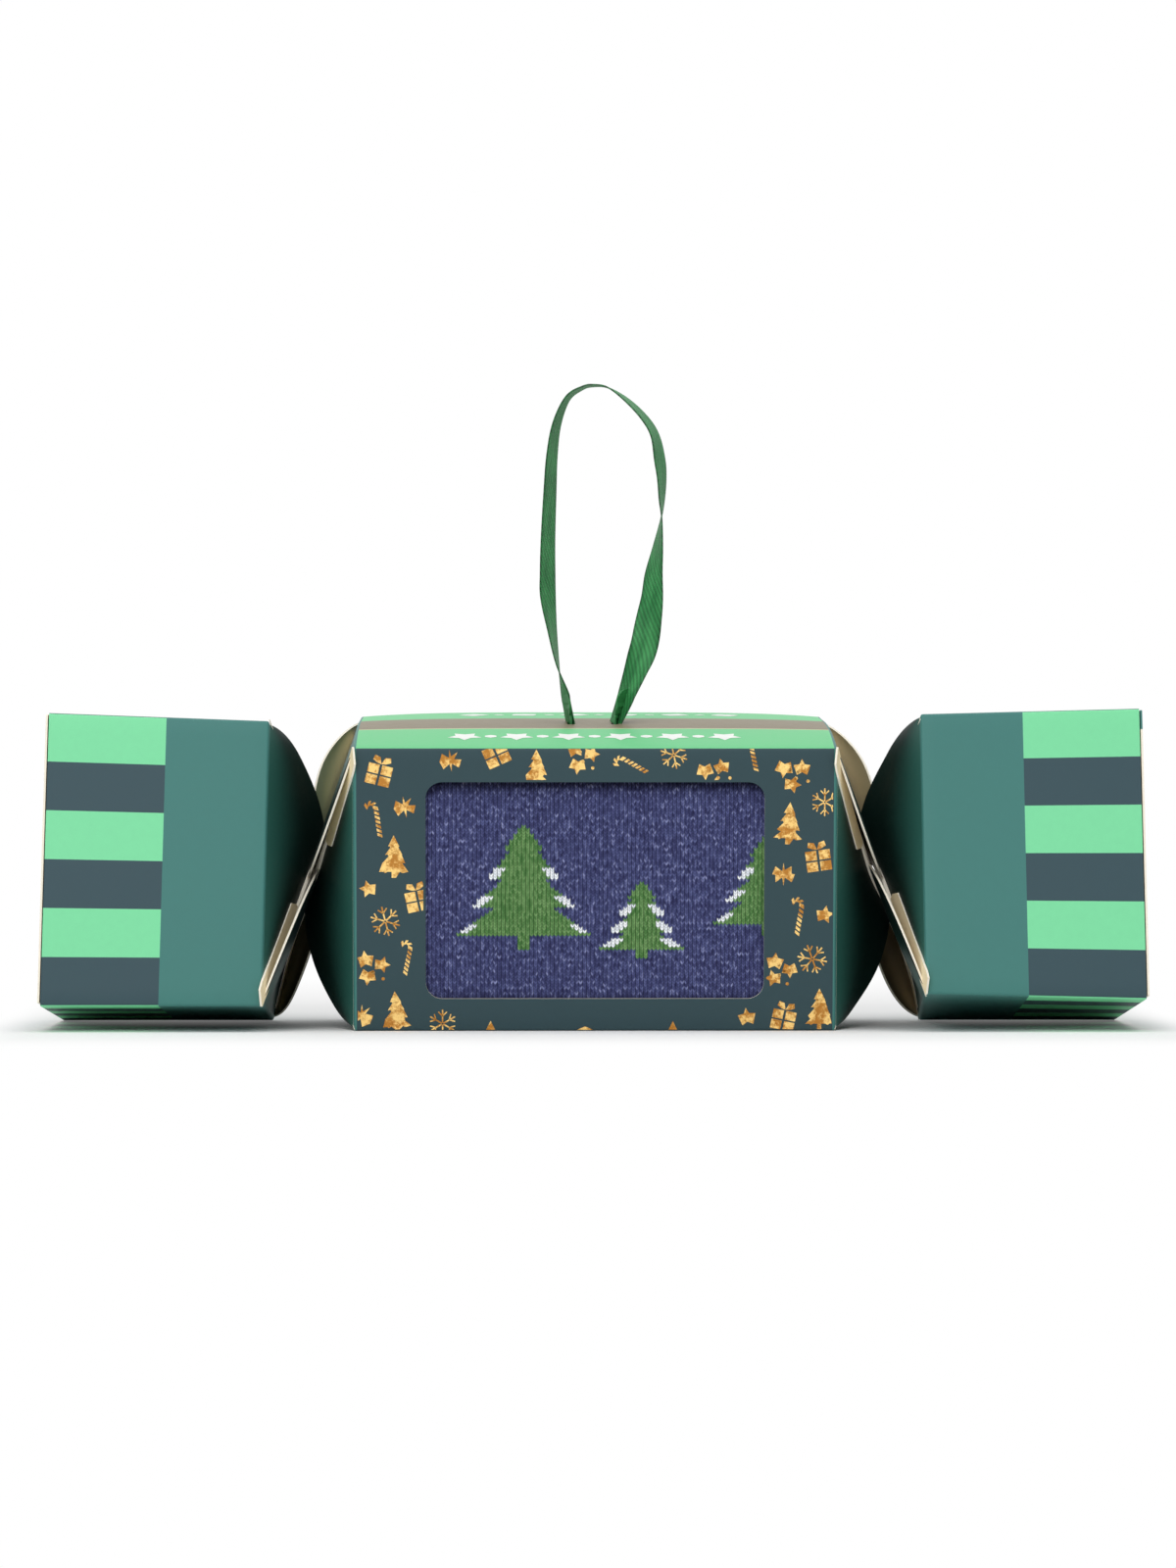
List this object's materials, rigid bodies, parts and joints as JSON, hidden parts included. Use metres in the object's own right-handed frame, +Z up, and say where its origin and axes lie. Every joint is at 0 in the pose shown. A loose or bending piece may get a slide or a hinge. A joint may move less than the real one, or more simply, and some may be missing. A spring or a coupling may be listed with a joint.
{
  "type": "christmas cracker",
  "caption": "Cracker-shaped printed gift carton with twisted necks, a window onto a folded pair of knitted socks, tuck-lidded end boxes and a ribbon hanging loop.",
  "frame": {"origin": "centre of the cracker's footprint on the surface it lies on", "axes": "+X along the cracker to the right end, -Y towards the window's side, +Z up"},
  "size_m": [0.267, 0.0794, 0.1608],
  "materials": {
    "printed_navy": "printed satin with amber foil ornaments",
    "printed_green": "printed satin stripes",
    "printed_teal": "printed satin, striped towards the lid",
    "twisted_board": "printed satin, creased",
    "inner_board": "uncoated cream",
    "ribbon": "satin weave",
    "knit": "fine heather knit"
  },
  "bodies": {
    "cracker_body": {"body_top_panel": "printed_green", "body_front_panel": "printed_navy", "body_bottom_panel": "printed_navy", "body_back_panel": "printed_navy", "body_glue_flap": "inner_board", "left_neck_body_flap_top": "twisted_board", "left_neck_body_flap_front": "twisted_board", "left_neck_body_flap_bottom": "twisted_board", "left_neck_body_flap_back": "twisted_board", "right_neck_body_flap_top": "twisted_board", "right_neck_body_flap_front": "twisted_board", "right_neck_body_flap_bottom": "twisted_board", "right_neck_body_flap_back": "twisted_board", "ribbon_knot": "ribbon", "folded_sock_front": "knit", "folded_sock_back": "knit"},
    "left_end": {"left_end_top_panel": "printed_teal", "left_end_front_panel": "printed_teal", "left_end_bottom_panel": "printed_teal", "left_end_back_panel": "printed_teal", "left_end_glue_flap": "inner_board", "left_neck_end_flap_top": "twisted_board", "left_neck_end_flap_front": "twisted_board", "left_neck_end_flap_bottom": "twisted_board", "left_neck_end_flap_back": "twisted_board"},
    "left_lid_board": {"left_lid": "printed_teal"},
    "left_tuck": {"left_tuck_tab": "printed_teal"},
    "left_dust_front": {"left_dust_flap_front": "inner_board"},
    "left_dust_back": {"left_dust_flap_back": "inner_board"},
    "right_end": {"right_end_top_panel": "printed_teal", "right_end_front_panel": "printed_teal", "right_end_bottom_panel": "printed_teal", "right_end_back_panel": "printed_teal", "right_end_glue_flap": "inner_board", "right_neck_end_flap_top": "twisted_board", "right_neck_end_flap_front": "twisted_board", "right_neck_end_flap_bottom": "twisted_board", "right_neck_end_flap_back": "twisted_board"},
    "right_lid_board": {"right_lid": "printed_teal"},
    "right_tuck": {"right_tuck_tab": "printed_teal"},
    "right_dust_front": {"right_dust_flap_front": "inner_board"},
    "right_dust_back": {"right_dust_flap_back": "inner_board"},
    "hang_loop": {"hanging_loop": "ribbon"}
  },
  "joints": [
    {"name": "left_twist", "type": "hinge", "parent": "cracker_body", "child": "left_end", "pos_m": [-0.0695, 0, 0.03808], "axis": [1, 0, 0], "range_deg": [-6, 10]},
    {"name": "left_lid_hinge", "type": "hinge", "parent": "left_end", "child": "left_lid_board", "pos_m": [-0.1327, 0.00323, 0.07293], "axis": [0, 0.9957, -0.0924], "range_deg": [0, 120]},
    {"name": "left_tuck_hinge", "type": "hinge", "parent": "left_lid_board", "child": "left_tuck", "pos_m": [-0.133, -0.00316, 0.00403], "axis": [0, -0.9957, 0.0924], "range_deg": [0, 20]},
    {"name": "left_dust_front_hinge", "type": "hinge", "parent": "left_end", "child": "left_dust_front", "pos_m": [-0.1327, -0.03485, 0.04132], "axis": [0, 0.0924, 0.9957], "range_deg": [0, 72]},
    {"name": "left_dust_back_hinge", "type": "hinge", "parent": "left_end", "child": "left_dust_back", "pos_m": [-0.1327, 0.03485, 0.03485], "axis": [0, -0.0924, -0.9957], "range_deg": [0, 72]},
    {"name": "right_twist", "type": "hinge", "parent": "cracker_body", "child": "right_end", "pos_m": [0.0695, 0, 0.03969], "axis": [1, 0, 0], "range_deg": [-6, 10]},
    {"name": "right_lid_hinge", "type": "hinge", "parent": "right_end", "child": "right_lid_board", "pos_m": [0.1327, 0.00505, 0.07432], "axis": [0, -0.9895, 0.1444], "range_deg": [0, 120]},
    {"name": "right_tuck_hinge", "type": "hinge", "parent": "right_lid_board", "child": "right_tuck", "pos_m": [0.133, -0.00494, 0.00584], "axis": [0, 0.9895, -0.1444], "range_deg": [0, 20]},
    {"name": "right_dust_front_hinge", "type": "hinge", "parent": "right_end", "child": "right_dust_front", "pos_m": [0.1327, -0.03463, 0.04474], "axis": [0, -0.1444, -0.9895], "range_deg": [0, 72]},
    {"name": "right_dust_back_hinge", "type": "hinge", "parent": "right_end", "child": "right_dust_back", "pos_m": [0.1327, 0.03463, 0.03463], "axis": [0, 0.1444, 0.9895], "range_deg": [0, 72]},
    {"name": "loop_swing", "type": "hinge", "parent": "cracker_body", "child": "hang_loop", "pos_m": [0, -0.00497, 0.08115], "axis": [1, 0, 0], "range_deg": [-60, 60]}
  ],
  "couplings": [
    {"joint": "left_dust_front_hinge", "follows": "left_lid_hinge", "ratio": 0.6},
    {"joint": "left_dust_back_hinge", "follows": "left_lid_hinge", "ratio": 0.6},
    {"joint": "right_dust_front_hinge", "follows": "right_lid_hinge", "ratio": 0.6},
    {"joint": "right_dust_back_hinge", "follows": "right_lid_hinge", "ratio": 0.6}
  ]
}
